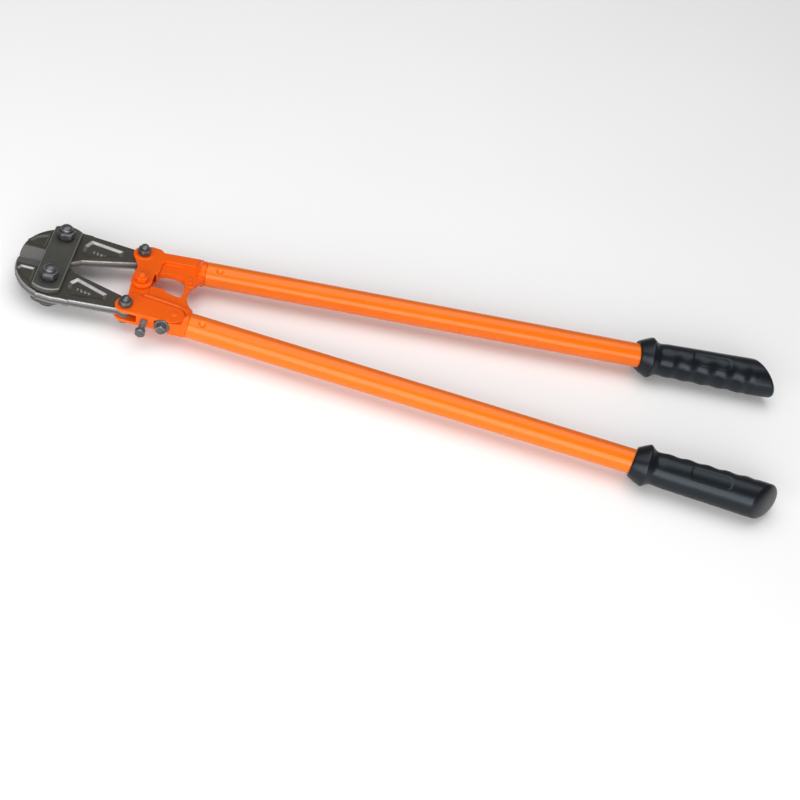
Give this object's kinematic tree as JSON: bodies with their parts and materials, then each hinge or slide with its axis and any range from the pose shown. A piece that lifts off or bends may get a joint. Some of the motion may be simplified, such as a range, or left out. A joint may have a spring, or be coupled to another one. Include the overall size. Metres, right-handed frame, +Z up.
{
  "type": "bolt cutters",
  "caption": "Long-handled bolt cutters with centre-cut jaws, strap-joined compound linkage, adjustable lower yoke, painted tube handles and black rubber grips.",
  "frame": {"origin": "centre of the overall box, on the surface that the closed cutters lie on", "axes": "+X from the jaws to the grips, +Y towards the handle whose yoke forms the fork, +Z up away from the surface, along every pivot"},
  "size_m": [0.9101, 0.2508, 0.0544],
  "materials": {
    "jaw_steel": "dark oxide faces with ground bright sides",
    "strap_steel": "dark satin oxide",
    "washer_steel": "black oxide",
    "bolt_steel": "dull grey plated",
    "yoke_paint": "semi-gloss paint over a forging",
    "tube_paint": "gloss paint",
    "grip_rubber": "soft satin"
  },
  "bodies": {
    "head": {"strap_top": "strap_steel", "strap_bottom": "strap_steel", "jaw_bolt_upper": "bolt_steel", "jaw_bolt_lower": "bolt_steel", "jaw_lock_washer_upper": "washer_steel", "jaw_lock_washer_lower": "washer_steel", "jaw_nut_upper": "bolt_steel", "jaw_nut_lower": "bolt_steel"},
    "upper_jaw": {"jaw_upper": "jaw_steel"},
    "lower_jaw": {"jaw_lower": "jaw_steel"},
    "upper_handle": {"upper_yoke": "yoke_paint", "tube_upper": "tube_paint", "grip_upper": "grip_rubber", "tail_bolt_upper": "bolt_steel", "tail_nut_upper": "bolt_steel", "centre_bolt": "yoke_paint", "centre_nut": "yoke_paint"},
    "lower_handle": {"lower_yoke": "yoke_paint", "tube_lower": "tube_paint", "grip_lower": "grip_rubber", "adjuster_link": "yoke_paint", "link_rivet": "yoke_paint", "tail_bolt_lower": "bolt_steel", "tail_nut_lower": "bolt_steel", "lock_bolt_washer": "bolt_steel"},
    "adjusting_screw": {"adjusting_screw": "bolt_steel"},
    "lock_bolt": {"lock_bolt": "bolt_steel"}
  },
  "joints": [
    {"name": "upper_jaw_turn", "type": "hinge", "parent": "head", "child": "upper_jaw", "pos_m": [-0.41064, 0.0365, 0.0248], "axis": [0, 0, 1], "range_deg": [-8.4, 0]},
    {"name": "lower_jaw_turn", "type": "hinge", "parent": "head", "child": "lower_jaw", "pos_m": [-0.41064, -0.0365, 0.0248], "axis": [0, 0, 1], "range_deg": [0, 8.4]},
    {"name": "handle_swing", "type": "hinge", "parent": "upper_jaw", "child": "upper_handle", "pos_m": [-0.31964, 0.0463, 0.0248], "axis": [0, 0, 1], "range_deg": [0, 46.3]},
    {"name": "lower_handle_swing", "type": "hinge", "parent": "lower_jaw", "child": "lower_handle", "pos_m": [-0.31964, -0.0463, 0.0248], "axis": [0, 0, 1], "range_deg": [-46.4, 0]},
    {"name": "adjusting_screw_turn", "type": "hinge", "parent": "lower_handle", "child": "adjusting_screw", "pos_m": [-0.29464, -0.06, 0.0248], "axis": [0, -1, 0], "range_deg": [-180, 180]},
    {"name": "lock_bolt_turn", "type": "hinge", "parent": "lower_handle", "child": "lock_bolt", "pos_m": [-0.27384, -0.06, 0.0248], "axis": [0, -1, 0], "range_deg": [-180, 180]}
  ],
  "couplings": [
    {"joint": "upper_jaw_turn", "follows": "handle_swing", "ratio": -0.18033},
    {"joint": "lower_jaw_turn", "follows": "handle_swing", "ratio": 0.18033},
    {"joint": "lower_handle_swing", "follows": "handle_swing", "ratio": -1}
  ]
}
